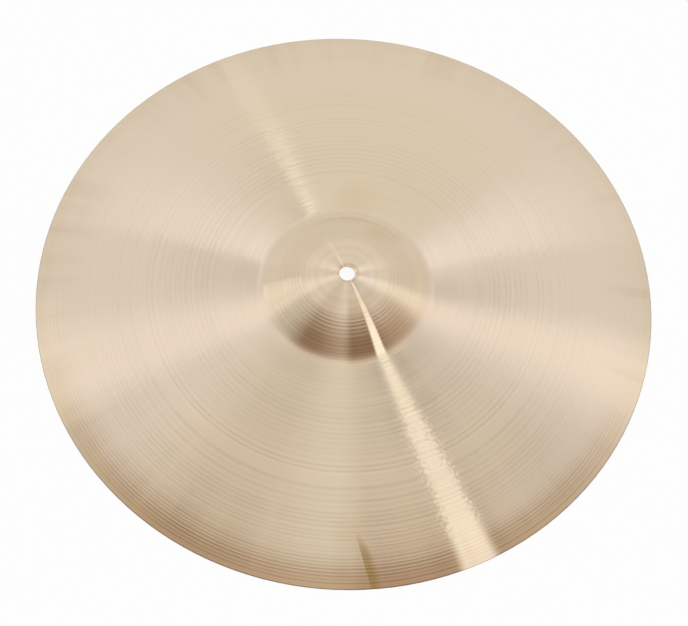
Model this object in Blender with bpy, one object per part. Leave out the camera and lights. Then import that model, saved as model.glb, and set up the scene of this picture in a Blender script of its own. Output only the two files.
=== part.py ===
# Suspended cymbal, 20 inch: one disc of bell bronze, cast, rolled, hammered and turned on a lathe.
# Metres, +Z up. The hole's axis is Z, the bell points up, and the rim's lowest edge lies on Z = 0.

from collections import namedtuple
from math import pi, radians

import bpy
import numpy as np

# Outline of the disc
CYMBAL_DIAMETER = 0.508
BELL_DIAMETER = 0.135  # where the bell meets the bow
HOLE_DIAMETER = 0.0127  # half an inch
SEAT_WIDTH = 0.004  # flat ring round the hole, where the felts press

# Heights of the upper face. A higher curve number keeps the dome flat for longer before it falls.
BOW_RISE = 0.0253  # rim to the bell's foot
BOW_CURVE = 3.3
BELL_RISE = 0.0233  # foot to crown
BELL_CURVE = 2.3
FOOT_BLEND = 0.005  # height over which the bell runs into the bow

# Wall, square to the face. It thins from the bell outwards.
CROWN_WALL = 0.0016
FOOT_WALL = 0.0012
RIM_WALL = 0.00084

# Turned grooves. A band starts at its first radius and has so many grooves at that pitch.
GROOVE_DEPTH = 0.00014
BROAD_GROOVE_DEPTH = 0.00025
BELL_BAND_REACH = 0.029  # from the foot inwards to the band's first groove
BELL_BAND_GROOVES = 8
BELL_BAND_PITCH = 0.0029
SHOULDER_FROM_FOOT = 0.071  # one broad groove half way out, where the tool was lifted
SHOULDER_PITCH = 0.0085
PAIR_FROM_FOOT = 0.0905
PAIR_GROOVES = 2
PAIR_PITCH = 0.0034
RIM_BAND_REACH = 0.025  # from the rim inwards to the band's first groove
RIM_BAND_GROOVES = 7
RIM_BAND_PITCH = 0.0028

# How finely the round forms are cut into facets
SEGMENTS = 64
BELL_POINTS = 6
FOOT_POINTS = 5
BOW_POINTS = 13
UNDERSIDE_POINTS = 9
FOOT_SPREAD = 1.5  # the foot's points reach this many blend heights to each side of it
RIM_ROUND_POINTS = 5
LEAST_STEP = 0.0009  # least distance along the radius from a plain point to a groove's point

# Polished bell bronze under a clear lacquer
BRONZE_COLOUR = (0.66, 0.56, 0.43, 1.0)
BRONZE_ROUGHNESS = 0.32

RIM_RADIUS = CYMBAL_DIAMETER / 2
FOOT_RADIUS = BELL_DIAMETER / 2
HOLE_RADIUS = HOLE_DIAMETER / 2
SEAT_RADIUS = HOLE_RADIUS + SEAT_WIDTH
EDGE_RADIUS = RIM_RADIUS - RIM_WALL / 2  # where the faces end and the rim's round begins

Band = namedtuple("Band", "first_radius grooves pitch depth")
BANDS = (
    Band(FOOT_RADIUS - BELL_BAND_REACH, BELL_BAND_GROOVES, BELL_BAND_PITCH, GROOVE_DEPTH),
    Band(FOOT_RADIUS + SHOULDER_FROM_FOOT, 1, SHOULDER_PITCH, BROAD_GROOVE_DEPTH),
    Band(FOOT_RADIUS + PAIR_FROM_FOOT, PAIR_GROOVES, PAIR_PITCH, GROOVE_DEPTH),
    Band(RIM_RADIUS - RIM_BAND_REACH, RIM_BAND_GROOVES, RIM_BAND_PITCH, GROOVE_DEPTH),
)


def clear_scene():
    for old in list(bpy.data.objects):
        bpy.data.objects.remove(old, do_unlink=True)


def bow_height(radius):
    """The bow falls from the foot to the rim as a power of the radius."""
    fall = 1 - (radius / RIM_RADIUS) ** BOW_CURVE
    return BOW_RISE * fall / (1 - (FOOT_RADIUS / RIM_RADIUS) ** BOW_CURVE)


def bell_height(radius):
    """The bell is a second dome on the bow, and would pass below it outside the foot."""
    seat_share = (SEAT_RADIUS / FOOT_RADIUS) ** BELL_CURVE
    return BOW_RISE + BELL_RISE * (1 - (radius / FOOT_RADIUS) ** BELL_CURVE) / (1 - seat_share)


def face_height(radius):
    """The higher of bell and bow, with the hollow corner at the foot rounded, and flat inside the felt seat."""
    radius = np.maximum(radius, SEAT_RADIUS)
    bell, bow = bell_height(radius), bow_height(radius)
    share = np.clip(0.5 + (bell - bow) / (2 * FOOT_BLEND), 0, 1)
    return bow + share * (bell - bow) + FOOT_BLEND * share * (1 - share)


def groove_depth(radius):
    """V-shaped grooves: the depth rises and falls once in each pitch of a band, and is nothing outside it."""
    depth = np.zeros_like(radius)
    for band in BANDS:
        turns = (radius - band.first_radius) / band.pitch
        inside = (turns > 0) & (turns < band.grooves)
        depth += band.depth * inside * (1 - np.abs(2 * (turns % 1) - 1))
    return depth


def wall(radius):
    """The wall square to the face, as a straight taper from crown to foot and another from foot to rim."""
    return np.interp(
        radius,
        (SEAT_RADIUS, FOOT_RADIUS, RIM_RADIUS),
        (CROWN_WALL, FOOT_WALL, RIM_WALL),
    )


def face_slope(radius):
    """How far the face falls for each metre outwards, from two points close on either side."""
    step = LEAST_STEP / 2
    return (face_height(radius - step) - face_height(radius + step)) / (2 * step)


def groove_radii(band):
    """The crests and the bottoms of a band's grooves, by turns."""
    halves = np.arange(2 * band.grooves + 1)
    return band.first_radius + halves * band.pitch / 2


def plain_radii(bell_points, bow_points):
    """Points along the bell, closer ones through the foot's rounding, and points along the bow."""
    reach = FOOT_SPREAD * FOOT_BLEND
    inner, outer = FOOT_RADIUS - reach, FOOT_RADIUS + reach
    return np.concatenate([
        np.linspace(SEAT_RADIUS, inner, bell_points, endpoint=False),
        np.linspace(inner, outer, FOOT_POINTS),
        np.linspace(outer, EDGE_RADIUS, bow_points + 1)[1:-1],
    ])


def upper_radii():
    """The plain points that keep clear of the grooves, and the grooves' own points."""
    turned = np.concatenate([groove_radii(band) for band in BANDS])
    plain = plain_radii(BELL_POINTS, BOW_POINTS)
    clear = np.abs(plain[:, None] - turned).min(axis=1) > LEAST_STEP
    radii = np.sort(np.concatenate([plain[clear], turned]))
    return radii[(radii > SEAT_RADIUS) & (radii < EDGE_RADIUS)]


def rim_round():
    """A half circle as wide as the wall, turned with the face, from the upper face round to the lower."""
    lean = np.arctan(face_slope(np.array(EDGE_RADIUS)))
    angle = np.linspace(pi / 2, -pi / 2, RIM_ROUND_POINTS) - lean
    middle = face_height(np.array(EDGE_RADIUS)) - RIM_WALL / 2 * np.cos(lean)
    half_wall = RIM_WALL / 2
    return np.column_stack([EDGE_RADIUS + half_wall * np.cos(angle), middle + half_wall * np.sin(angle)])


def underside_height(radius):
    """The upper face lowered by the wall, which is longer straight down where the face is steep."""
    return face_height(radius) - wall(radius) * np.hypot(1, face_slope(radius))


def profile():
    """The closed section at +X: out along the upper face, round the rim, back along the underside."""
    upper = upper_radii()
    upper_face = np.column_stack([upper, face_height(upper) - groove_depth(upper)])
    lower = plain_radii(BELL_POINTS, UNDERSIDE_POINTS)[:0:-1]
    lower_face = np.column_stack([lower, underside_height(lower)])
    seat_top = face_height(np.array(SEAT_RADIUS))
    seat_bottom = seat_top - CROWN_WALL
    points = np.vstack([
        [[HOLE_RADIUS, seat_top], [SEAT_RADIUS, seat_top]],
        upper_face,
        rim_round(),
        lower_face,
        [[SEAT_RADIUS, seat_bottom], [HOLE_RADIUS, seat_bottom]],
    ])
    points[:, 1] -= points[:, 1].min()
    return points


def bronze():
    material = bpy.data.materials.new("bell_bronze")
    material.use_nodes = True
    shader = material.node_tree.nodes["Principled BSDF"]
    shader.inputs["Base Color"].default_value = BRONZE_COLOUR
    shader.inputs["Metallic"].default_value = 1.0
    shader.inputs["Roughness"].default_value = BRONZE_ROUGHNESS
    return material


def turned_disc(name, section, material):
    """Carries the closed section once round the Z axis, as a lathe would."""
    count = len(section)
    mesh = bpy.data.meshes.new(name)
    points = [(radius, 0.0, height) for radius, height in section]
    edges = [(index, (index + 1) % count) for index in range(count)]
    mesh.from_pydata(points, edges, [])
    mesh.materials.append(material)
    disc = bpy.data.objects.new(name, mesh)
    bpy.context.scene.collection.objects.link(disc)
    screw = disc.modifiers.new("turn", "SCREW")
    screw.axis = "Z"
    screw.angle = radians(360)
    screw.steps = SEGMENTS
    screw.render_steps = SEGMENTS
    screw.use_merge_vertices = False
    screw.use_smooth_shade = True
    return disc


def main():
    clear_scene()
    section = profile()
    turned_disc("cymbal", section, bronze())
    print(len(section), "points in the section")
    print("crown height in mm:", round(1000 * section[:, 1].max(), 2))


main()
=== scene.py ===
# %% [markdown]
# A suspended cymbal, finished in Blender.
#
# The real one is a single disc of bell bronze, 20 inches across. It is cast, rolled, pressed with
# a bell, hammered, and turned on a lathe until its faces are covered with fine circular grooves.
# The CAD part has its size and its main form. This lesson makes the fine surface: a smooth mesh
# with real grooves, a bronze finish that spreads light as turned metal does, and a plain studio.
#
# We start by loading the CAD part, which fixes every size below. Nothing here moves or resizes it.

from collections import namedtuple
from math import atan, cos, degrees, pi, radians, sin

import bpy
import numpy as np
from mathutils import Matrix, Vector


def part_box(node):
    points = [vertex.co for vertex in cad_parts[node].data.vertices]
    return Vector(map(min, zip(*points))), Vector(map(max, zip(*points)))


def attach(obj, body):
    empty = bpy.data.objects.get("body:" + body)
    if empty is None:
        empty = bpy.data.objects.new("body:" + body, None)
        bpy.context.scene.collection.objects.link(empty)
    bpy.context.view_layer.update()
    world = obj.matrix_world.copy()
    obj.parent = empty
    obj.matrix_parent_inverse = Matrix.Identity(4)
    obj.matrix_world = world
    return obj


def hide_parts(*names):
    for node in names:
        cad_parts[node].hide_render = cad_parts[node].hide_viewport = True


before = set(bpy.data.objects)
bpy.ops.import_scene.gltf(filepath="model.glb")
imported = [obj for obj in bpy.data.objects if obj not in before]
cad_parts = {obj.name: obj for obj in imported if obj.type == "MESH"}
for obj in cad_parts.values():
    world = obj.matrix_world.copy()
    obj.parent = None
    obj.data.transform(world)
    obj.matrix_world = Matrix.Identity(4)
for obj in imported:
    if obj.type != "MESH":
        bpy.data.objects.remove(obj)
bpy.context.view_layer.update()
rim_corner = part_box("cymbal")[1]
RIM_RADIUS = rim_corner[0]
CROWN_HEIGHT = rim_corner[2]
print(len(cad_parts), "node in the frame")
print(f"cymbal {2000 * RIM_RADIUS:.1f} mm across, {1000 * CROWN_HEIGHT:.1f} mm high")

# %% [markdown]
# The camera comes first, because it says how fine the surface has to be.
#
# The photographer stood on the -Y side and looked steeply down, from about two metres. A disc seen
# at a slant is an ellipse, and the ellipse's proportions give the angle: the sine of the elevation
# is its height over its width. The camera was also turned a little about its own line of sight.
# We build its three axes as vectors, because the vector "back" is needed again for the lights.

# %% Set the camera
CAMERA_ELEVATION = radians(63.49)
CAMERA_ROLL = radians(4.86)
CAMERA_DISTANCE = 2.2
CAMERA_SLIDE = 0.0006  # the disc isn't quite in the middle of the picture
CAMERA_DROP = 0.0104
SENSOR_WIDTH = 36.0
LENS = 139.46
OUTLINE_LEVEL = 0.0004  # the rim's widest circle lies this far above its lowest edge


def camera_axes(elevation, roll):
    """The axes right, up and back of a camera on the -Y side, turned by its roll about back."""
    back = Vector((0, -cos(elevation), sin(elevation)))
    level_right = Vector((1, 0, 0))
    level_up = back.cross(level_right)
    right = cos(roll) * level_right + sin(roll) * level_up
    return right, back.cross(right), back


right, up, back = camera_axes(CAMERA_ELEVATION, CAMERA_ROLL)
camera_data = bpy.data.cameras.new("camera")
camera_data.sensor_width = SENSOR_WIDTH
camera_data.lens = LENS
camera = bpy.data.objects.new("camera", camera_data)
camera_place = CAMERA_DISTANCE * back - CAMERA_SLIDE * right - CAMERA_DROP * up
camera_place += Vector((0, 0, OUTLINE_LEVEL))
turn = Matrix((right, up, back)).transposed().to_4x4()
camera.matrix_world = Matrix.Translation(camera_place) @ turn
bpy.context.scene.collection.objects.link(camera)
bpy.context.scene.camera = camera
print(f"camera {1000 * camera_place.length:.0f} mm from the middle of the rim's circle")

# %% [markdown]
# The form is two domes. The bow falls slowly from the bell's foot to the rim, and the bell is a
# steeper dome on top of it. Each height is a power of the radius, so it starts flat in the middle
# and falls faster and faster outwards. Where the two meet, a smooth maximum rounds the corner.
#
# These are the CAD part's own formulas, so the new surface lies where the solid lies.

# %% Heights of the upper face
FOOT_RADIUS = 0.0675  # where the bell meets the bow
HOLE_RADIUS = 0.00635
SEAT_RADIUS = 0.01035  # outside of the flat ring that the felts press on
BOW_RISE = 0.0253
BOW_CURVE = 3.3
BELL_RISE = 0.0233
BELL_CURVE = 2.3
FOOT_BLEND = 0.005  # height over which the bell runs into the bow
SAMPLE_RADII = (0.03, 0.06, 0.12, 0.25)


def bow_height(radius):
    """The rise times one minus a power of the radius, scaled to be the whole rise at the foot."""
    fall = 1 - (radius / RIM_RADIUS) ** BOW_CURVE
    return BOW_RISE * fall / (1 - (FOOT_RADIUS / RIM_RADIUS) ** BOW_CURVE)


def bell_height(radius):
    """The same kind of curve, from the crown down to the foot and on below the bow."""
    seat_share = (SEAT_RADIUS / FOOT_RADIUS) ** BELL_CURVE
    return BOW_RISE + BELL_RISE * (1 - (radius / FOOT_RADIUS) ** BELL_CURVE) / (1 - seat_share)


def face_height(radius):
    """The higher of the two, plus a parabola where they differ by less than the blend."""
    radius = np.maximum(radius, SEAT_RADIUS)
    bell, bow = bell_height(radius), bow_height(radius)
    share = np.clip(0.5 + (bell - bow) / (2 * FOOT_BLEND), 0, 1)
    return bow + share * (bell - bow) + FOOT_BLEND * share * (1 - share)


def face_slope(radius, step=0.0004):
    """The fall for each metre outwards, as the difference of two heights over their distance."""
    return (face_height(radius - step) - face_height(radius + step)) / (2 * step)


for sample in SAMPLE_RADII:
    face_tilt = degrees(atan(face_slope(sample)))
    print(f"radius {1000 * sample:.0f} mm: the face tilts {face_tilt:.1f} degrees")

# %% [markdown]
# A turner's tool is fed outwards while the disc spins, and each pass leaves a groove a few
# millimetres wide. They stand in bands, where the tool was set to one feed, with smoother rings
# between. They are shallower than a sheet of paper is thick, but polished metal shows a slope of
# one degree clearly, so they are worth real geometry: they then also show in the silhouette of a
# highlight.
#
# Each groove is one raised cosine. We list the bands, give every groove its own place and depth
# from a seeded random generator, and add them all up as one array operation.
#
# A band's last two numbers are painted shade in its grooves: the share of colour that a groove's
# bottom loses, first all round the disc and then at the front only, where it stands for the dark
# room behind the camera. A shade below nothing paints pale rings of light instead, and a band with
# no depth is painted tone alone. The last two in the list are such rings, half way out on the bell.
# They stand last because a band put in earlier would change the random draws after it.

# %% Turned grooves
Band = namedtuple("Band", "inner outer pitch depth stain front_stain")
UPPER_BANDS = (
    Band(0.0120, 0.0205, 0.0085, 0.00002, 0.055, 0.0),
    Band(0.0205, 0.0285, 0.0080, 0.00002, 0.055, 0.0),
    Band(0.0378, 0.0543, 0.0028, 0.00010, 0.042, 0.04),
    Band(0.0543, 0.0643, 0.0025, 0.00007, 0.005, 0.12),
    Band(0.0815, 0.1070, 0.0043, 0.00001, 0.0, 0.015),
    Band(0.1070, 0.1415, 0.0043, 0.00002, 0.033, 0.015),
    Band(0.1415, 0.1497, 0.0041, 0.00003, 0.020, 0.02),
    Band(0.1497, 0.1562, 0.0065, 0.00003, 0.020, 0.03),
    Band(0.1543, 0.1660, 0.0039, 0.0, -0.012, -0.030),
    Band(0.1562, 0.1640, 0.0039, 0.00006, 0.022, 0.06),
    Band(0.1742, 0.1935, 0.0043, 0.00004, 0.015, 0.05),
    Band(0.1935, 0.2120, 0.0037, 0.00004, 0.003, 0.09),
    Band(0.2120, 0.2303, 0.0031, 0.00003, 0.002, 0.08),
    Band(0.2303, 0.2509, 0.0026, 0.00008, 0.002, 0.11),
    Band(0.0315, 0.0345, 0.0030, 0.0, -0.020, -0.015),
    Band(0.0345, 0.0375, 0.0030, 0.0, 0.025, 0.020),
)
UNDER_BANDS = (
    Band(0.0200, 0.0620, 0.0050, 0.00006, 0.030, 0.0),
    Band(0.0760, 0.1500, 0.0062, 0.00007, 0.030, 0.0),
    Band(0.1560, 0.2480, 0.0046, 0.00007, 0.030, 0.0),
)
DEPTH_SPREAD = 0.20  # how much a groove's depth differs from its band's
DEPTH_LIMITS = (0.3, 1.8)  # as shares of the band's depth
PLACE_SPREAD = 0.05  # how far a groove is off its place, as a share of the pitch


def tool_marks(bands, seed):
    """Centre, width, depth and two painted shades of every groove.

    The grooves stand at even steps across a band, each a little off its place and depth.
    """
    rng = np.random.default_rng(seed)
    marks = []
    for band in bands:
        count = max(1, round((band.outer - band.inner) / band.pitch))
        pitch = (band.outer - band.inner) / count
        steps = np.arange(count) + 0.5 + PLACE_SPREAD * rng.normal(size=count)
        share = (1 + DEPTH_SPREAD * rng.normal(size=count)).clip(*DEPTH_LIMITS)
        cut = np.outer(share, (band.depth, band.stain, band.front_stain))
        marks.append(np.column_stack([band.inner + pitch * steps, np.full(count, pitch), cut]))
    return np.vstack(marks)


def grooves(radius, marks):
    """Depth and painted shades at each radius: each groove's own, times a raised cosine, all added
    up.
    """
    centre, width = marks[:, 0], marks[:, 1]
    offset = np.clip((radius[:, None] - centre) / width, -0.5, 0.5)
    return (0.5 + 0.5 * np.cos(2 * pi * offset)) @ marks[:, 2:]


upper_marks = tool_marks(UPPER_BANDS, seed=3)
under_marks = tool_marks(UNDER_BANDS, seed=5)
print(len(upper_marks), "rings above,", len(under_marks), "below")

# %% [markdown]
# The underside is the same sheet seen from behind. Its wall is thickest at the crown and thins to
# the rim. Measured square to the face the wall is longer straight down where the face is steep, so
# the height is lowered by the wall times the length of a step along the slope.
#
# The rim is a half circle as wide as the wall. The hole's two edges are broken by a tiny round, as
# a real drilled hole is, because a perfectly sharp edge never catches any light.

# %% Section of the sheet
CROWN_WALL = 0.0016
FOOT_WALL = 0.0012
RIM_WALL = 0.00084
HOLE_ROUND = 0.0003
UPPER_STEPS = 480  # points along the upper face, about five to the finest groove
UNDER_STEPS = 200
RIM_STEPS = 9
HOLE_STEPS = 4


def wall(radius):
    """A straight taper from crown to foot, and another from foot to rim."""
    return np.interp(
        radius,
        (SEAT_RADIUS, FOOT_RADIUS, RIM_RADIUS),
        (CROWN_WALL, FOOT_WALL, RIM_WALL),
    )


def arc(centre, radius, start, end, steps):
    """Points on a circle: the centre plus the radius times the cosine and sine of each angle.

    The two zeros at the end of each row are its painted shades, because no groove reaches there.
    """
    angle = np.linspace(start, end, steps)
    across, along = radius * np.cos(angle), radius * np.sin(angle)
    return np.column_stack([centre[0] + across, centre[1] + along, np.zeros((steps, 2))])


def section():
    """Out along the upper face, round the rim, back along the underside and up through the hole.

    Each row is a radius, a height and the two painted shades of the groove there.
    """
    edge = RIM_RADIUS - RIM_WALL / 2
    crown = float(face_height(np.array(SEAT_RADIUS)))
    corner = HOLE_RADIUS + HOLE_ROUND
    upper = np.linspace(corner, edge, UPPER_STEPS, endpoint=False)[1:]
    under = np.linspace(edge, corner, UNDER_STEPS, endpoint=False)[1:]
    upper_cut, *upper_shades = grooves(upper, upper_marks).T
    under_cut, *under_shades = grooves(under, under_marks).T
    under_face = face_height(under) - wall(under) * np.hypot(1, face_slope(under))
    lean = atan(face_slope(edge))
    rim_middle = float(face_height(np.array(edge))) - RIM_WALL / 2 * cos(lean)
    points = np.vstack([
        arc((corner, crown - HOLE_ROUND), HOLE_ROUND, pi, pi / 2, HOLE_STEPS),
        np.column_stack([upper, face_height(upper) - upper_cut, *upper_shades]),
        arc((edge, rim_middle), RIM_WALL / 2, pi / 2 - lean, -pi / 2 - lean, RIM_STEPS),
        np.column_stack([under, under_face + under_cut, *under_shades]),
        arc((corner, crown - CROWN_WALL + HOLE_ROUND), HOLE_ROUND, -pi / 2, -pi, HOLE_STEPS),
    ])
    points[:, 1] -= points[:, 1].min()
    return points


sheet = section()
print(f"{len(sheet)} points in the section, {1000 * np.ptp(sheet[:, 1]):.2f} mm high")

# %% [markdown]
# To turn a section into a disc, we could use a Screw modifier, or bmesh's spin. Numpy does the same
# in a few lines: every point is repeated at each angle, with the radius times the cosine and sine.
# The faces are a grid that wraps round in both directions, so the disc is closed with no seam.
#
# The grooves' two painted shades are kept in the mesh as attributes. The finish reads them later,
# to paint each groove's bottom darker than its edges.

# %% Turn the section into a disc
TURN_STEPS = 140
GROOVE_SHADE_NAMES = ("stain", "front_stain")


def turned(name, points, steps):
    """Vertex (i, j) is section point i at angle j: x = r cos a, y = r sin a, z = height."""
    angle = 2 * pi * np.arange(steps) / steps
    radius, height, *groove_shades = points.T
    grid = np.stack([
        radius[:, None] * np.cos(angle),
        radius[:, None] * np.sin(angle),
        np.broadcast_to(height[:, None], (len(points), steps)),
    ], axis=-1)
    here = np.arange(len(points) * steps).reshape(len(points), steps)
    further = np.roll(here, -1, axis=0)
    corners = [here, further, np.roll(further, -1, axis=1), np.roll(here, -1, axis=1)]
    faces = np.stack(corners, axis=-1)
    mesh = bpy.data.meshes.new(name)
    mesh.from_pydata(grid.reshape(-1, 3).tolist(), [], faces.reshape(-1, 4).tolist())
    mesh.shade_smooth()
    for label, stain in zip(GROOVE_SHADE_NAMES, groove_shades):
        attribute = mesh.attributes.new(label, "FLOAT", "POINT")
        attribute.data.foreach_set("value", np.repeat(stain, steps))
    disc = bpy.data.objects.new(name, mesh)
    bpy.context.scene.collection.objects.link(disc)
    return disc


cymbal = turned("bronze_disc", sheet, TURN_STEPS)
print(2 * len(cymbal.data.polygons), "triangles")

# %% [markdown]
# A material is a graph of nodes, and long graphs are hard to read. So we write the maths as Python
# expressions. The class below wraps one output socket, and each operator adds the Math node that
# works it out. The reflected forms let a plain number stand on the left, as in 1 - mask.
#
# Colours and vectors go through the functions after the class, because a Math node would turn a
# colour grey.

# %% Shader maths as expressions


class Value:
    """A number, colour or vector that varies over a surface. Each operator adds one Math node."""

    def __init__(self, tree, socket):
        self.tree = tree
        self.socket = socket

    def node(self, kind, settings, **inputs):
        """Adds a node of any kind: its settings first, then its sockets, from values or links.

        A socket goes by its name with _ for a space, or by i and its place among the inputs.
        """
        made = self.tree.nodes.new(kind)
        for setting, value in settings.items():
            setattr(made, setting, value)
        for name, value in inputs.items():
            key = int(name[1:]) if name[1:].isdigit() else name.replace("_", " ")
            if isinstance(value, Value):
                self.tree.links.new(value.socket, made.inputs[key])
            else:
                made.inputs[key].default_value = value
        return made

    def math(self, operation, *values):
        """A Math node on these values."""
        sockets = {f"i{index}": value for index, value in enumerate(values)}
        made = self.node("ShaderNodeMath", {"operation": operation}, **sockets)
        return Value(self.tree, made.outputs[0])

    def __add__(self, other):
        return self.math("ADD", self, other)

    def __radd__(self, other):
        return self.math("ADD", other, self)

    def __sub__(self, other):
        return self.math("SUBTRACT", self, other)

    def __rsub__(self, other):
        return self.math("SUBTRACT", other, self)

    def __mul__(self, other):
        return self.math("MULTIPLY", self, other)

    def __rmul__(self, other):
        return self.math("MULTIPLY", other, self)

    def __truediv__(self, other):
        return self.math("DIVIDE", self, other)

    def power(self, exponent):
        return self.math("POWER", self, exponent)

    def ramp(self, start, end, low=0.0, high=1.0):
        """A smooth step: low up to the start, high from the end on, with no corner between."""
        made = self.node(
            "ShaderNodeMapRange", {"interpolation_type": "SMOOTHSTEP"},
            Value=self, From_Min=start, From_Max=end, To_Min=low, To_Max=high,
        )
        return Value(self.tree, made.outputs[0])

    def feed(self, socket):
        """Links this value to an input of the shader."""
        self.tree.links.new(self.socket, socket)


def maths_in(tree):
    """A Value that holds no socket yet, to start expressions in a tree."""
    return Value(tree, None)


def output_of(maths, kind, settings, name, **inputs):
    """The named output of a new node, wrapped as a Value."""
    return Value(maths.tree, maths.node(kind, settings, **inputs).outputs[name])


def vector_maths(maths, operation, *values, output="Vector", **more):
    """A Vector Math node, for colours, directions and places."""
    sockets = {f"i{index}": value for index, value in enumerate(values)}
    settings = {"operation": operation}
    return output_of(maths, "ShaderNodeVectorMath", settings, output, **sockets, **more)


def dot(maths, vector, axis):
    """How far a vector reaches along an axis."""
    return vector_maths(maths, "DOT_PRODUCT", vector, axis, output="Value")


def mixed(maths, share, one, other):
    """A Mix node on colours: one where the share is 0, the other where it is 1."""
    made = maths.node("ShaderNodeMix", {"data_type": "RGBA"}, i0=share, i6=one, i7=other)
    return Value(maths.tree, made.outputs[2])


def between(value, rise_start, rise_end, fall_start, fall_end):
    """1 on a plateau and 0 away from it, with a smooth step on each side."""
    return value.ramp(rise_start, rise_end) * value.ramp(fall_start, fall_end, 1, 0)


def level_axes(azimuth):
    """The level direction at an azimuth in degrees, and the one a quarter turn further round."""
    along = (cos(radians(azimuth)), sin(radians(azimuth)), 0.0)
    return along, (-along[1], along[0], 0.0)


print("helpers for shader maths are ready")

# %% [markdown]
# Everything on a turned disc follows its radius or the direction outwards from its axis. So the
# bronze starts with those two, from Object coordinates, which are the mesh's own metres. The masks
# below are easier to read in millimetres.

# %% Bronze: where a point lies on the disc
bronze = bpy.data.materials.new("bell_bronze")
bronze.use_nodes = True
shader = bronze.node_tree.nodes["Principled BSDF"]
on_bronze = maths_in(bronze.node_tree)
place = output_of(on_bronze, "ShaderNodeTexCoord", {}, "Object")
flat_place = vector_maths(on_bronze, "MULTIPLY", place, (1.0, 1.0, 0.0))
outward = vector_maths(on_bronze, "NORMALIZE", flat_place)
radius_mm = 1000 * vector_maths(on_bronze, "LENGTH", flat_place, output="Value")
print("bronze knows each point's radius in millimetres")

# %% [markdown]
# Turned metal is covered with circular scratches too fine to see. A scratch reflects like a tiny
# half-pipe: across itself it throws the light far out, along itself hardly at all. So every lamp
# is drawn out into a bright spoke from the hole to the rim, the look that everyone knows from a
# cymbal or a pan's bottom.
#
# Two things make it here. The shader's Anisotropic setting squeezes the highlight one way. Its own
# tangent already runs round the object's Z axis, so a quarter turn points the wide way outwards.
# And fine rings of slope, computed from the radius alone, tilt the surface normal in and out.
#
# A Bump node could make the rings, but it compares heights one pixel apart, and these rings are
# finer than a pixel. So the slope is added straight to the normal: normal + slope * outward.

# %% Bronze: fine rings
FINE_RING = 0.18  # width of the finest tool lines, in millimetres
COARSE_RING = 1.3
RING_STARTS = (0.0, 50.0)  # where in the noise the fine and the coarse rings begin
RING_DRIFT = 0.5  # how fast a ring's depth changes round the disc
FINE_SLOPE = 0.42
COARSE_SLOPE = 0.025
BELL_SHARE = 0.78  # the bell was buffed smoother
BELL_EDGE = (60.0, 72.0)
CALM = 0.5  # how much of the rings' slope is missing next to the bell
CALM_BAND = (64.0, 70.0, 82.0, 100.0)


def noise(where, scale, detail):
    """Smooth noise about 0, seldom more than 0.3 from it."""
    sockets = {"Vector": where, "Scale": scale, "Detail": detail}
    return output_of(on_bronze, "ShaderNodeTexNoise", {}, "Fac", **sockets) - 0.5


def rings(width_mm, begin):
    """Noise that changes quickly with the radius and slowly round the disc."""
    drift = vector_maths(on_bronze, "SCALE", outward, Scale=RING_DRIFT)
    ring_number = radius_mm / width_mm + begin
    along = output_of(on_bronze, "ShaderNodeCombineXYZ", {}, "Vector", Z=ring_number)
    return noise(vector_maths(on_bronze, "ADD", drift, along), 1.0, 1.0)


fine_rings = rings(FINE_RING, RING_STARTS[0])
coarse_rings = rings(COARSE_RING, RING_STARTS[1])
slope = FINE_SLOPE * fine_rings + COARSE_SLOPE * coarse_rings
slope = slope * radius_mm.ramp(*BELL_EDGE, BELL_SHARE, 1.0)
slope = slope * (1 - CALM * between(radius_mm, *CALM_BAND))
face_normal = output_of(on_bronze, "ShaderNodeNewGeometry", {}, "Normal")
ring_tilt = vector_maths(on_bronze, "SCALE", outward, Scale=slope)
tilted = vector_maths(on_bronze, "ADD", face_normal, ring_tilt)
print(f"rings {FINE_RING} and {COARSE_RING} mm wide")

# %% [markdown]
# A thin sheet rings while it is turned, and half way out the tool trembles on it. It leaves short
# waves, which turners call chatter. They frost the edges of a bright spoke. Each part of a noise
# texture's colour is its own noise, so one colour gives a slope in every direction at once.

# %% Bronze: chatter
CHATTER_SIZE = 0.0024
CHATTER_SLOPE = 0.018
CHATTER_BAND = (80.0, 190.0, 215.0, 240.0)


def waves(size, height):
    """A vector of slopes, each about plus or minus a fifth of the height, in waves of this size."""
    sockets = {"Vector": place, "Scale": 1 / size, "Detail": 1.0}
    made = output_of(on_bronze, "ShaderNodeTexNoise", {}, "Color", **sockets)
    return vector_maths(on_bronze, "MULTIPLY_ADD", made, (height,) * 3, (-height / 2,) * 3)


trembled = between(radius_mm, *CHATTER_BAND)
chatter = vector_maths(on_bronze, "SCALE", waves(CHATTER_SIZE, CHATTER_SLOPE), Scale=trembled)
tilted = vector_maths(on_bronze, "NORMALIZE", vector_maths(on_bronze, "ADD", tilted, chatter))
tilted.feed(shader.inputs["Normal"])
print(f"chatter {1000 * CHATTER_SIZE:.1f} mm wide")

# %% [markdown]
# Bell bronze is four parts copper to one of tin, a pale metal between straw and pink. It varies
# gently over a hand's width, partly in random patches of its own tone and partly as a painted
# reflection tint: more straw to the front and the back, more rose at the sides.
#
# Each tone is laid over the last through a mask, and each mask is a smooth step or two. The value
# "front" is 1 at the front of the disc, 0 at its sides and -1 at its back.

# %% Bronze: straw and rose
STRAW = (0.675, 0.558, 0.401, 1.0)
ROSE = (0.682, 0.560, 0.438, 1.0)
TINT_PATCH = 0.09
TINT_DETAIL = 2.0
TINT_SPREAD = 0.5  # how far the patches shift the border between the two
STRAW_SIDES = (0.50, 0.95)
STRAW_REACH = (165.0, 225.0, 1.0, 0.3)
STRAW_FRONT = (0.0, 0.4)


def laid_over(colour, layers):
    """Each tone in turn, mixed over what lies below it through its own mask."""
    for share, tone in layers:
        colour = mixed(on_bronze, share, colour, tone)
    return colour


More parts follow.
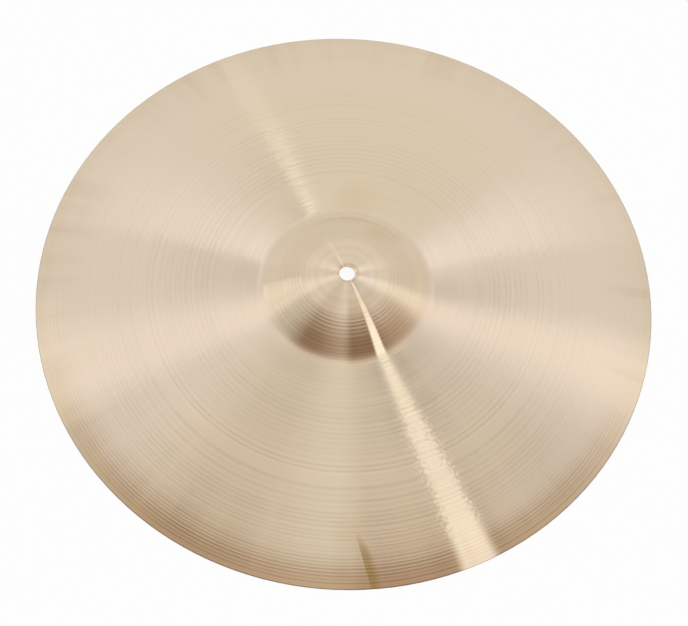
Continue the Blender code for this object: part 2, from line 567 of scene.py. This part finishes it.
patches = noise(place, 1 / TINT_PATCH, TINT_DETAIL)
front = dot(on_bronze, outward, (0.0, -1.0, 0.0))
lengthways = on_bronze.math("ABSOLUTE", front) + TINT_SPREAD * patches
reach = on_bronze.math("MAXIMUM", radius_mm.ramp(*STRAW_REACH), front.ramp(*STRAW_FRONT))
# Partly painted reflection tint: straw to the front and back, rose at the sides, broken up by
# random patches.
colour = laid_over(ROSE, [(lengthways.ramp(*STRAW_SIDES) * reach, STRAW)])
print("straw and rose patches", TINT_PATCH, "m across")

# %% [markdown]
# The bell is a little yellower than the bow. The front of the rim is painted brown as shade, for
# the dark room behind the camera, except along the one stripe where the narrow lamp's bright spoke
# falls. The rounded outer edge is darker.
#
# Distance from the stripe's middle is the outward direction's part square to the stripe: 0 on it,
# and nearly the angle in radians beside it.

# %% Bronze: bell, rim and painted front shade
BELL_TONE = (0.670, 0.544, 0.393, 1.0)
CROWN_TONE = (0.682, 0.558, 0.406, 1.0)
CROWN_EDGE = (24.0, 34.0)
RIM_TONE = (0.670, 0.550, 0.410, 1.0)
RIM_EDGE = (236.0, 250.0)
PAINTED_FRONT_SHADE = (0.550, 0.390, 0.242, 1.0)
FRONT_SIDES = (0.18, 0.88)
FRONT_REACH = (224.0, 252.0)
STREAK_STRIPE = 299.5  # azimuth of its middle, in degrees
STREAK_STRIPE_EDGES = (0.045, 0.085, 0.2, 1.0)
DARK_EDGE_TONE = (0.20, 0.175, 0.15, 1.0)
DARK_EDGE_REACH = (253.45, 253.75)

beside_stripe = level_axes(STREAK_STRIPE)[1]
off_stripe = on_bronze.math("ABSOLUTE", dot(on_bronze, outward, beside_stripe))
# Painted shade: the front of the rim is darkened brown for the dark room behind the camera, left
# off the stripe where the narrow lamp's spoke falls.
front_shade_mask = front.ramp(*FRONT_SIDES) * radius_mm.ramp(*FRONT_REACH) * off_stripe.ramp(*STREAK_STRIPE_EDGES)
colour = laid_over(colour, [
    (radius_mm.ramp(*BELL_EDGE, 1, 0), BELL_TONE),
    (radius_mm.ramp(*CROWN_EDGE, 1, 0), CROWN_TONE),
    (radius_mm.ramp(*RIM_EDGE), RIM_TONE),
    (front_shade_mask, PAINTED_FRONT_SHADE),
    (radius_mm.ramp(*DARK_EDGE_REACH), DARK_EDGE_TONE),
])
print("five tones over the straw and rose")

# %% [markdown]
# Then come the small marks. A few soft spots are painted shade, darker copper-brown patches, and
# beside the hole the metal is a little rosier. A felt that sat a little off the middle has left a
# brown ring round the hole. The mask of each needs only the distance from its middle.

# %% Bronze: painted shade spots and the felt's ring
Spot = namedtuple("Spot", "azimuth radius size strength tone")
SHADE_SPOT_TONE = (0.63, 0.475, 0.315, 1.0)
PALE_ROSE = (0.70, 0.585, 0.47, 1.0)
SPOTS = (
    Spot(65, 0.051, 0.016, 0.80, SHADE_SPOT_TONE),
    Spot(50, 0.056, 0.012, 0.60, SHADE_SPOT_TONE),
    Spot(15, 0.058, 0.026, 0.35, SHADE_SPOT_TONE),
    Spot(346, 0.064, 0.013, 0.45, SHADE_SPOT_TONE),
    Spot(88, 0.082, 0.026, 0.50, SHADE_SPOT_TONE),
    Spot(275, 0.212, 0.018, 0.35, SHADE_SPOT_TONE),
    Spot(340, 0.017, 0.020, 0.90, PALE_ROSE),
)
FELT_MIDDLE = (27, 0.0012)  # azimuth and radius
FELT_RING = (6.4, 7.2, 8.2, 9.6)
FELT_STRENGTH = 0.32
FELT_BROWN = (0.45, 0.28, 0.15, 1.0)


def from_mark(azimuth, radius):
    """The vector from a mark's middle to the point, along the disc, in metres."""
    middle = tuple(radius * part for part in level_axes(azimuth)[0])
    return vector_maths(on_bronze, "SUBTRACT", flat_place, middle)


def distance_mm(azimuth, radius):
    """How far the point is from a mark's middle, in millimetres."""
    return 1000 * vector_maths(on_bronze, "LENGTH", from_mark(azimuth, radius), output="Value")


# The copper-brown spots are painted shade.
for spot in SPOTS:
    off_middle = distance_mm(spot.azimuth, spot.radius)
    share = off_middle.ramp(0, 1000 * spot.size, spot.strength, 0)
    colour = laid_over(colour, [(share, spot.tone)])
felt_mark = between(distance_mm(*FELT_MIDDLE), *FELT_RING)
colour = laid_over(colour, [(FELT_STRENGTH * felt_mark, FELT_BROWN)])
print(len(SPOTS), "soft spots and a felt's ring")

# %% [markdown]
# Something has dripped near the rim at the front and has run outwards at a slant. So the drip's
# mask uses two distances: one along the way it ran, and one beside it. It is sharp on one side and
# soft on the other, and grows wider as it runs.

# %% Bronze: the drip
DRIP_OLIVE = (0.42, 0.29, 0.11, 1.0)
DRIP_STRENGTH = 0.80
DRIP_START = (276.6, 0.211)  # azimuth and radius
DRIP_HEADING = 292.0
DRIP_PROFILE = (-1.3, -0.2, 2.5, 9.5)
DRIP_GROWTH = (-4.0, 22.0, 0.4, 1.0)
DRIP_REACH = (-3.0, 18.0)

from_drip = from_mark(*DRIP_START)
along_mm, aside_mm = [1000 * dot(on_bronze, from_drip, axis) for axis in level_axes(DRIP_HEADING)]
widened = aside_mm / along_mm.ramp(*DRIP_GROWTH)
drip = between(widened, *DRIP_PROFILE) * along_mm.ramp(*DRIP_REACH)
colour = laid_over(colour, [(DRIP_STRENGTH * drip, DRIP_OLIVE)])
print("a drip that starts", 1000 * DRIP_START[1], "mm from the axis")

# %% [markdown]
# Faint smears run out to the rim all round, where hands and cloths have passed over it. They are
# noise that reads only the outward direction, so each one is a straight streak along a radius.

# %% Bronze: smears
SMEAR_BROWN = (0.60, 0.45, 0.30, 1.0)
SMEARS = 13.0
SMEAR_DETAIL = 3.0
SMEAR_EDGES = (0.02, 0.22, 0.0, 0.30)
SMEAR_REACH = (200.0, 250.0)

smears = noise(outward, SMEARS, SMEAR_DETAIL)
near_rim = radius_mm.ramp(*SMEAR_REACH)
colour = laid_over(colour, [(smears.ramp(*SMEAR_EDGES) * near_rim, SMEAR_BROWN)])
print("smears from radius", SMEAR_REACH[0], "mm outwards")

# %% [markdown]
# Last, painted shade darkens the grooves' bottoms, and the fine rings of slope paint the same more
# faintly. That keeps the turning visible in the flattest light. The front has its own painted
# shade, for the dark room behind the camera, which fades towards the sides and on the streak's
# stripe. The smears make both uneven.

# %% Bronze: painted shade in the grooves
FRONT_SHADE_SIDES = (0.05, 0.85)
STRIPE_FRONT_SHADE = (0.03, 0.075, 0.35, 1.0)
SMEARED_GROOVE_SHADE = (-0.20, 0.20, 0.7, 1.3)
SMEAR_SHADE = 0.12
RING_SHADE = 0.03

stain, front_stain = [
    output_of(on_bronze, "ShaderNodeAttribute", {"attribute_name": label}, "Fac")
    for label in GROOVE_SHADE_NAMES
]
front_share = front.ramp(*FRONT_SHADE_SIDES) * off_stripe.ramp(*STRIPE_FRONT_SHADE)
# Painted shade: groove bottoms are darkened all round and more at the front, and pale rings are
# painted where the shade is below nothing.
groove_shading = (stain + front_stain * front_share) * smears.ramp(*SMEARED_GROOVE_SHADE)
kept = 1 - groove_shading - SMEAR_SHADE * smears * near_rim
kept = kept + RING_SHADE * (fine_rings + coarse_rings)
colour = vector_maths(on_bronze, "SCALE", colour, Scale=kept)
colour.feed(shader.inputs["Base Color"])
print("stains read from", " and ".join(GROOVE_SHADE_NAMES))

# %% [markdown]
# The rest of the bronze is four constants on the shader's own sockets. The roughness is what one
# scratch does along its length, and it is small, because the anisotropy widens it the other way.

# %% Bronze: shine
RADIAL_SPREAD = 0.08
QUARTER_TURN = 0.25
shader.inputs["Metallic"].default_value = 1.0
shader.inputs["Roughness"].default_value = RADIAL_SPREAD
shader.inputs["Anisotropic"].default_value = 1.0
shader.inputs["Anisotropic Rotation"].default_value = QUARTER_TURN
cymbal.data.materials.append(bronze)
print("metallic, roughness", RADIAL_SPREAD)

# %% [markdown]
# The photograph's studio is a white tent with a few brighter panels, and a dark room behind the
# camera. It is far off, so it is drawn in the world, as a smooth function of direction.
#
# It helps to lay it out by mirrors. A small mirror that faces half way between the tripod and a
# panel shows that panel. On a turned disc such mirrors lie all along one spoke. So each panel is
# given by the spoke where it shows: the spoke's azimuth, and levels at tilts along it. The half
# way direction is the sum of the light's direction and the tripod's, made one long.

# %% Studio: half way between tripod and lamp
LAMP_OFFSET = (0.0019, 0.0050, 0.0)  # the spokes meet 0.3 degrees beside the disc's axis

world = bpy.data.worlds.new("studio")
bpy.context.scene.world = world
world.use_nodes = True
in_studio = maths_in(world.node_tree)
direction = output_of(in_studio, "ShaderNodeTexCoord", {}, "Generated")
towards_both = vector_maths(in_studio, "ADD", direction, tuple(back))
half_way = vector_maths(in_studio, "NORMALIZE", towards_both)
height = output_of(in_studio, "ShaderNodeSeparateXYZ", {}, "Z", Vector=half_way)
tilt = degrees(1) * in_studio.math("ARCCOSINE", height)
half_way = vector_maths(in_studio, "SUBTRACT", half_way, LAMP_OFFSET)


def spoke(rise_start, rise_end, fall_start, fall_end):
    """A mask over azimuths in degrees, from the half way direction's parts along and across it."""
    middle = (rise_end + fall_start) / 2
    along, across = [dot(in_studio, half_way, axis) for axis in level_axes(middle)]
    turned_by = degrees(1) * in_studio.math("ARCTAN2", across, along)
    edges = (rise_start, rise_end, fall_start, fall_end)
    return between(turned_by, *(azimuth - middle for azimuth in edges))


def along_spoke(levels):
    """Levels at given tilts, joined by smooth steps: the first one plus each rise to the next."""
    total = levels[0][1]
    for (tilt_before, before), (tilt_after, after) in zip(levels, levels[1:]):
        total = total + tilt.ramp(tilt_before, tilt_after, 0, after - before)
    return total


tripod_tilt = 90 - degrees(CAMERA_ELEVATION)
print(f"the tripod stands {tripod_tilt:.1f} degrees off the disc's axis")

# %% [markdown]
# The tent is nearly the same white all round. Each panel adds its own light to it, and is given by
# four azimuths, its levels as pairs of a tilt and a level, and a tint. The levels change along a
# spoke because a real panel isn't evenly bright. The streak is the narrow lamp that makes the
# brightest spoke.

# %% Studio: the white tent and its bright panels
Panel = namedtuple("Panel", "azimuths levels tint")
NEUTRAL = (1.0, 1.0, 1.0)
ROSY = (1.0, 1.03, 1.25)
PALE = (1.0, 1.01, 1.08)
TENT_LEVELS = ((10, 1.03), (14, 1.05), (22, 0.97), (33, 0.97), (42, 1.12))
PANELS = {
    "right, by the camera": Panel(
        (332, 347, 350, 361), ((5, 0.24), (9, 0.17), (15, 0.24), (32, 0.28)), NEUTRAL),
    "right, back": Panel(
        (14, 20, 25, 46), ((2, 0.25), (8, 0.16), (16, 0.05), (30, 0.0)), ROSY),
    "gap at the back": Panel(
        (115.5, 118, 122, 124.5),
        ((4, 0.38), (8, 0.10), (14, 0.02), (17, 0.08), (24, 0.0)), ROSY),
    "left, back": Panel((138, 165, 167, 172), ((2, 0.26), (8, 0.13), (20, 0.03)), ROSY),
    "left": Panel((186, 200, 205, 215), ((4, 0.23), (9, 0.15), (20, 0.20)), NEUTRAL),
    "left, low": Panel((183, 187, 190, 202), ((20, 0.0), (26, 0.24), (34, 0.12)), NEUTRAL),
}
STREAK = Panel(
    (295.0, 297.1, 301.8, 303.8),
    ((4, 0.51), (8, 0.23), (11, 0.18), (15, 0.36), (19, 0.31), (26, 0.60)),
    PALE,
)

tent = vector_maths(in_studio, "SCALE", NEUTRAL, Scale=along_spoke(TENT_LEVELS))
for panel in PANELS.values():
    strength = spoke(*panel.azimuths) * along_spoke(panel.levels)
    panel_light = vector_maths(in_studio, "SCALE", panel.tint, Scale=strength)
    tent = vector_maths(in_studio, "ADD", tent, panel_light)
print(len(PANELS) + 1, "bright panels")

# %% [markdown]
# Behind the camera the tent is open to a dark room. Its parts are cards that take light away, laid
# out by spokes as the panels are. Where the room is darker it is also browner, so a card's green
# and blue fall faster than its red: they are the same share, raised to a power. The narrow lamp
# stands in front of the cards, so the streak's share of the sky isn't darkened.

# %% Studio: the dark room behind the camera
Card = namedtuple("Card", "azimuths levels green_power blue_power")
CARDS = {
    "room": Card((224, 250, 292, 346), ((17, 0.0), (33, 0.36)), 1.36, 1.62),
    "left of the tripod": Card(
        (222, 243, 249, 272), ((5, 0.05), (10, 0.11), (17, 0.14), (33, 0.32)), 1.36, 1.62),
    "right of the tripod": Card(
        (271, 280, 297, 312), ((6, 0.04), (10, 0.09), (17, 0.19), (33, 0.40)), 1.36, 1.62),
    "grey curtain": Card((206, 228, 238, 254), ((12, 0.0), (32, 0.22)), 1.05, 1.3),
    "copper curtain": Card((301, 310, 326, 347), ((18, 0.0), (32, 0.12)), 2.0, 2.6),
    "right, low": Card(
        (301, 306, 322, 340),
        ((5.5, 0.0), (8.5, 0.08), (11, 0.14), (14, 0.16), (18, 0.06)), 1.15, 1.4),
    "overhead, left": Card((210, 236, 248, 264), ((3.5, 0.15), (7, 0.0)), 1.0, 1.0),
    "overhead, right": Card((268, 290, 320, 340), ((3.5, 0.21), (7, 0.0)), 1.0, 1.0),
    "overhead, by the streak": Card((288, 292, 310, 314), ((3.5, 0.20), (7, 0.0)), 1.0, 1.0),
    "overhead, back": Card((121, 125, 128, 142), ((3.5, 0.14), (7, 0.0)), 1.0, 1.0),
    "overhead, far left": Card((165, 174, 178, 194), ((3.5, 0.15), (7, 0.0)), 1.0, 1.0),
    "overhead, far right": Card((350, 360, 365, 373), ((3.5, 0.16), (7, 0.0)), 1.0, 1.0),
}


def shade_of(card):
    """What is left of red, green and blue: 1 less the card's depth, to each colour's power."""
    left = 1 - spoke(*card.azimuths) * along_spoke(card.levels)
    return output_of(
        in_studio, "ShaderNodeCombineXYZ", {}, "Vector",
        X=left, Y=left.power(card.green_power), Z=left.power(card.blue_power),
    )


shaded = tent
for card in CARDS.values():
    shaded = vector_maths(in_studio, "MULTIPLY", shaded, shade_of(card))
streak_light = vector_maths(in_studio, "SCALE", STREAK.tint, Scale=along_spoke(STREAK.levels))
streaked = vector_maths(in_studio, "ADD", tent, streak_light)
studio = mixed(in_studio, spoke(*STREAK.azimuths), shaded, streaked)
print(len(CARDS), "dark cards")

# %% [markdown]
# The camera itself sees plain white, so Light Path sends camera and transmission rays there, and
# metal sees the same white tent with its panels and its dark side.

# %% Studio: white for the camera
WHITE = (1.0, 1.0, 1.0, 1.0)


def seen_by(maths, kinds):
    """1 for rays of these kinds and 0 for all others: the largest of Light Path's outputs."""
    seen = 0.0
    for kind in kinds:
        flag = output_of(maths, "ShaderNodeLightPath", {}, kind)
        seen = maths.math("MAXIMUM", seen, flag)
    return seen


plain = seen_by(in_studio, ("Is Camera Ray", "Is Transmission Ray"))
sky = mixed(in_studio, plain, studio, WHITE)
sky.feed(world.node_tree.nodes["Background"].inputs["Color"])
print(len(world.node_tree.nodes), "nodes in the studio")

# %% [markdown]
# The floor is a plain pale sheet. In the photograph it is burnt out to white. We keep a little of
# its own shading, so that the disc still stands on something: most of what a camera sees of it is
# an even white, and the rest is ordinary diffuse grey that takes the disc's shadow. Seen from below
# it is clear, so that the underside can be looked at too.

# %% Floor
FLOOR_HALF_WIDTH = 4.0
FLOOR_GAP = 0.0002
FLOOR_WHITE = 0.94
FLOOR_GREY = (0.9, 0.9, 0.9, 1.0)

floor_material = bpy.data.materials.new("paper_floor")
floor_material.use_nodes = True
floor_material.node_tree.nodes.clear()
on_floor = maths_in(floor_material.node_tree)
whitened = seen_by(on_floor, ("Is Camera Ray", "Is Glossy Ray", "Is Transmission Ray"))
paper = output_of(on_floor, "ShaderNodeBsdfDiffuse", {}, "BSDF", Color=FLOOR_GREY)
glow = output_of(on_floor, "ShaderNodeEmission", {}, "Emission", Color=WHITE)
clear = output_of(on_floor, "ShaderNodeBsdfTransparent", {}, "BSDF")
behind = output_of(on_floor, "ShaderNodeNewGeometry", {}, "Backfacing")


def shaders_mixed(share, one, other):
    """A Mix Shader node: one shader where the share is 0, the other where it is 1."""
    return output_of(on_floor, "ShaderNodeMixShader", {}, "Shader", i0=share, i1=one, i2=other)


white_paper = shaders_mixed(FLOOR_WHITE * whitened, paper, glow)
on_floor.node("ShaderNodeOutputMaterial", {}, Surface=shaders_mixed(behind, white_paper, clear))

floor_corners = FLOOR_HALF_WIDTH * np.array([(-1, -1), (1, -1), (1, 1), (-1, 1)])
floor_mesh = bpy.data.meshes.new("floor")
floor_mesh.from_pydata([(x, y, -FLOOR_GAP) for x, y in floor_corners], [], [(0, 1, 2, 3)])
floor_mesh.materials.append(floor_material)
floor = bpy.data.objects.new("floor", floor_mesh)
bpy.context.scene.collection.objects.link(floor)
print("floor", 2 * FLOOR_HALF_WIDTH, "m wide")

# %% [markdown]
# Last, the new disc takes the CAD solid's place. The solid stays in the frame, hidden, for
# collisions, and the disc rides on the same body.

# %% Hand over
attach(cymbal, "root")
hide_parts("cymbal")

bpy.context.scene.view_settings.view_transform = "Standard"
